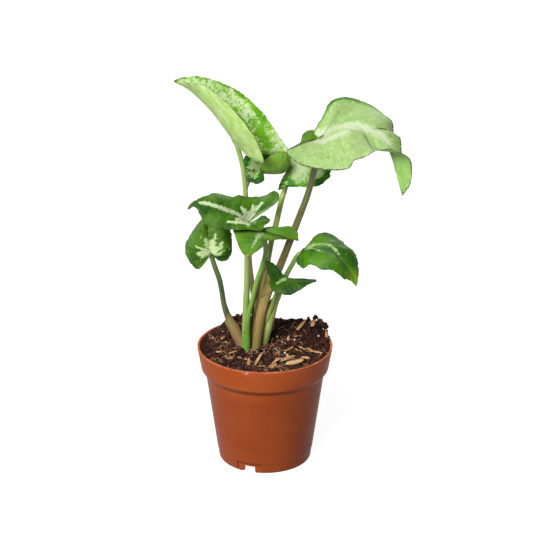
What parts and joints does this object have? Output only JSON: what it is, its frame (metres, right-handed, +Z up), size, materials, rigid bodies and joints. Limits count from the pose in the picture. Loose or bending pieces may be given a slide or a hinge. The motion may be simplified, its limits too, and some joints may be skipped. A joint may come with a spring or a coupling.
{
  "type": "potted arrowhead plant",
  "caption": "Young arrowhead plant with marbled arrow-shaped leaves on sheathed stalks, growing in soil in a round tapered nursery pot.",
  "frame": {"origin": "middle of the whole plant's bounding box, on the surface that the pot stands on", "axes": "+Z up along the pot's axis, -Y towards the viewer of the picture, +X to the viewer's right"},
  "size_m": [0.1358, 0.08, 0.236],
  "materials": {
    "pot_plastic": "satin terracotta-coloured moulded plastic",
    "potting_soil": "rough, crumbly peat and bark mix",
    "pale_leaf": "satin pale green leaf with green marbling",
    "dark_leaf": "satin dark green leaf with cream veins",
    "green_stalk": "smooth green leaf stalk",
    "tan_stalk": "smooth leaf stalks with papery tan sheaths"
  },
  "bodies": {
    "root": {"pot": "pot_plastic", "soil": "potting_soil", "shoot_left": "green_stalk", "shoot_green": "green_stalk", "shoot_sheathed": "tan_stalk", "shoot_right": "green_stalk", "leaf_tall_left": "pale_leaf", "leaf_broad_right": "pale_leaf", "leaf_back_right": "pale_leaf", "leaf_back_middle": "dark_leaf", "leaf_low_left": "dark_leaf", "leaf_front": "dark_leaf", "leaf_lowest_left": "dark_leaf", "leaf_low_right": "dark_leaf", "leaf_lowest_right": "dark_leaf"}
  },
  "joints": []
}
